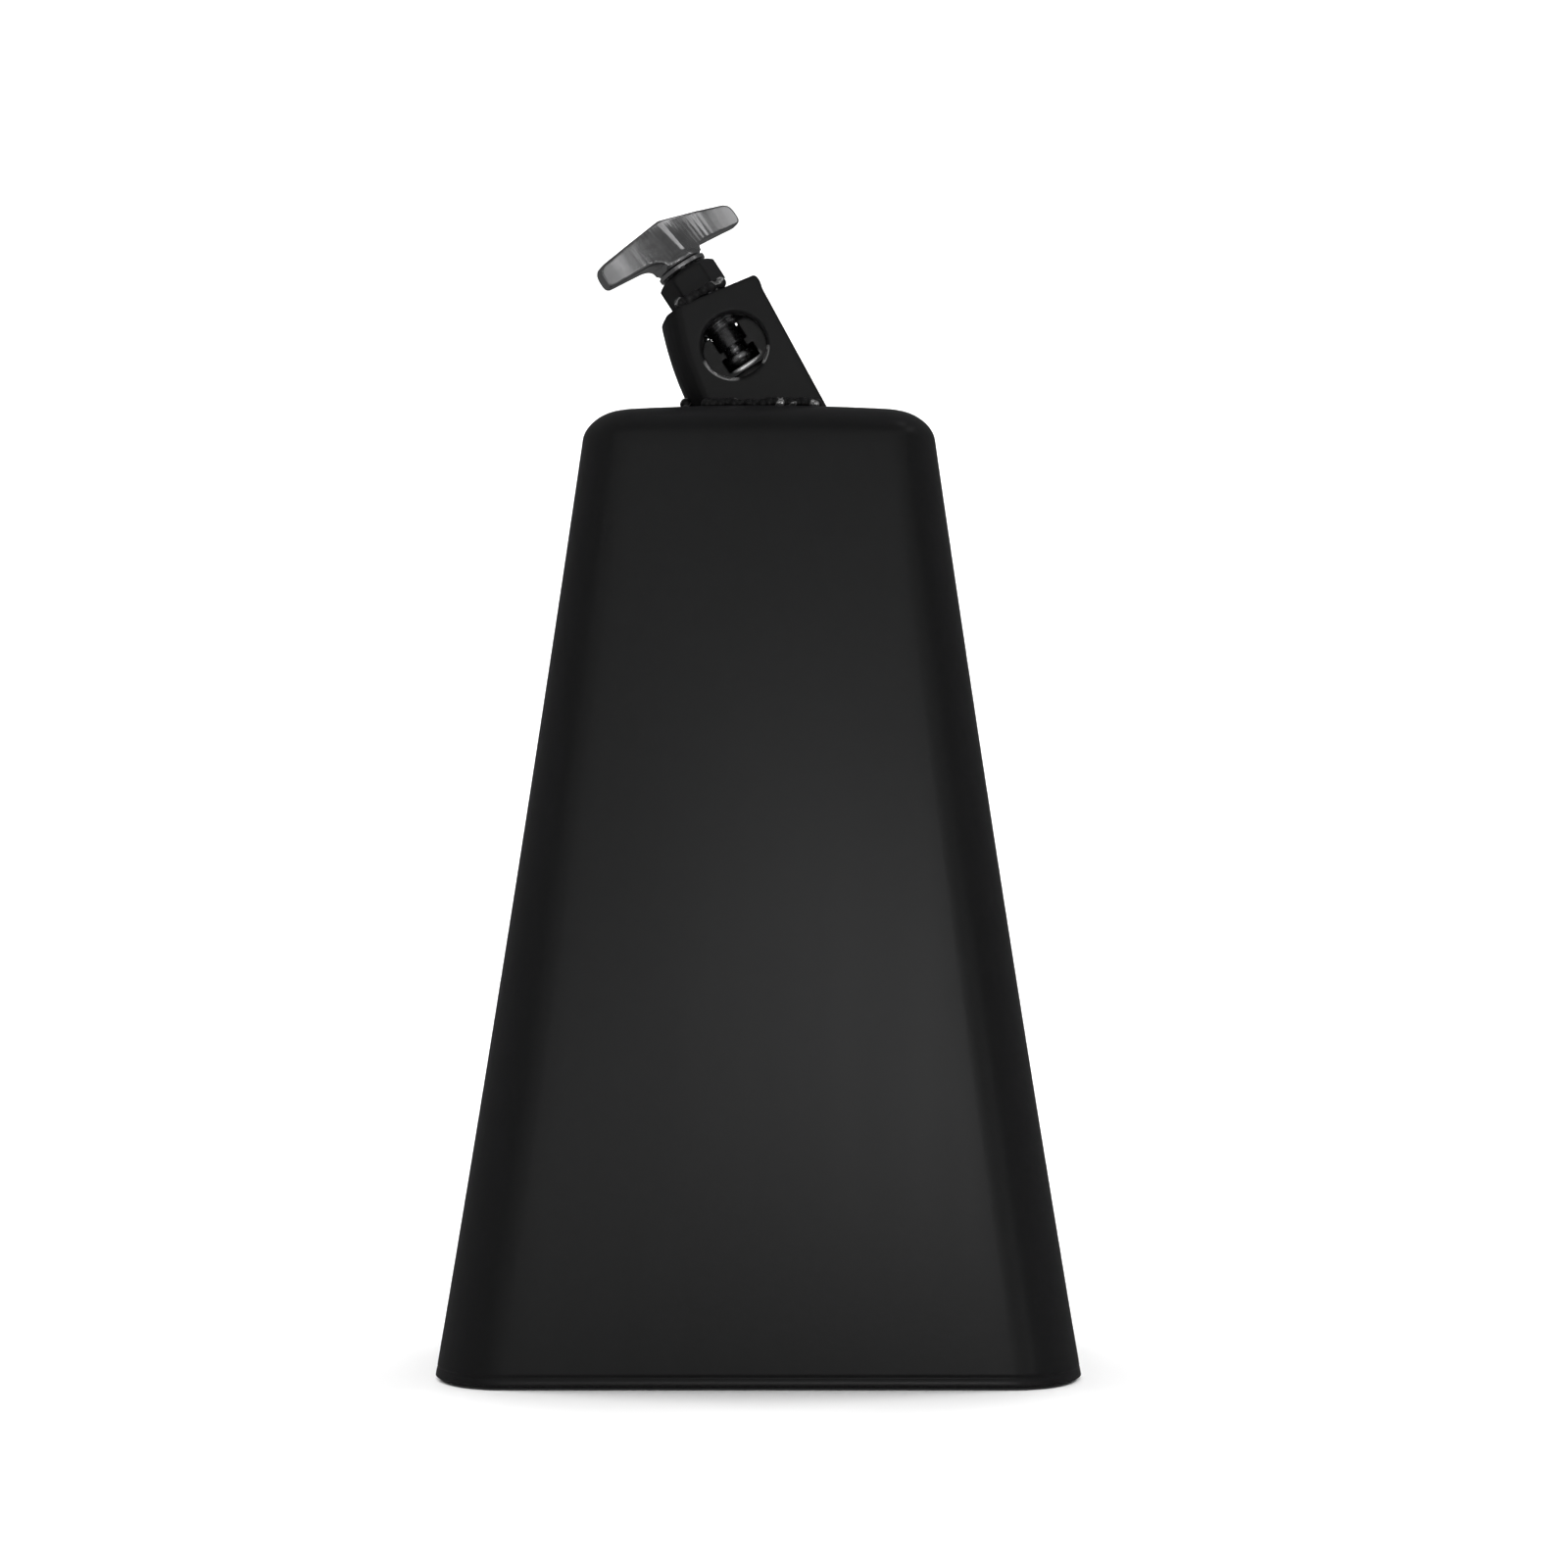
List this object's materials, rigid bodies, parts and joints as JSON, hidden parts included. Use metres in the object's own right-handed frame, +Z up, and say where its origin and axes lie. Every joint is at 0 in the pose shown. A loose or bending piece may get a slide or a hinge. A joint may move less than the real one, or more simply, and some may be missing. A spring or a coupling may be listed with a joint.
{
  "type": "mountable cowbell",
  "caption": "Black steel mountable cowbell with seam-welded pressed halves, a welded channel bracket with a round rod hole, and a chrome wing bolt that drives a pressure shoe.",
  "frame": {"origin": "centre of the bell's mouth, in the plane of its lip", "axes": "+Z up from the mouth to the bracket, +X to the right and -Y towards the viewer of the playing face"},
  "size_m": [0.136, 0.076, 0.2509],
  "materials": {
    "black_paint": "satin",
    "painted_weld": "gloss",
    "dark_steel": "satin",
    "stud_steel": "satin",
    "bright_chrome": "polished"
  },
  "bodies": {
    "bell": {"front_shell": "black_paint", "rear_shell": "black_paint", "clamp_bracket": "black_paint", "weld_nut": "black_paint", "left_seam_weld": "painted_weld", "right_seam_weld": "painted_weld", "top_seam_weld": "painted_weld", "bracket_weld_front": "painted_weld", "bracket_weld_rear": "painted_weld", "bracket_weld_left": "painted_weld", "nut_weld_front": "painted_weld", "nut_weld_rear": "painted_weld"},
    "shoe": {"pressure_shoe": "dark_steel"},
    "wing_bolt": {"wing_head": "bright_chrome", "threaded_stud": "stud_steel", "thrust_washer": "bright_chrome"}
  },
  "joints": [
    {"name": "shoe_slide", "type": "slide", "parent": "bell", "child": "shoe", "axis": [-0.5446, 0, 0.8387], "range_m": [0, 0.00875]},
    {"name": "wing_turn", "type": "hinge", "parent": "shoe", "child": "wing_bolt", "pos_m": [-0.0053, 0, 0.2178], "axis": [-0.5446, 0, 0.8387], "range_deg": [0, 2520.1]}
  ],
  "couplings": [
    {"joint": "wing_turn", "follows": "shoe_slide", "rad_per_m": 5026.5}
  ]
}
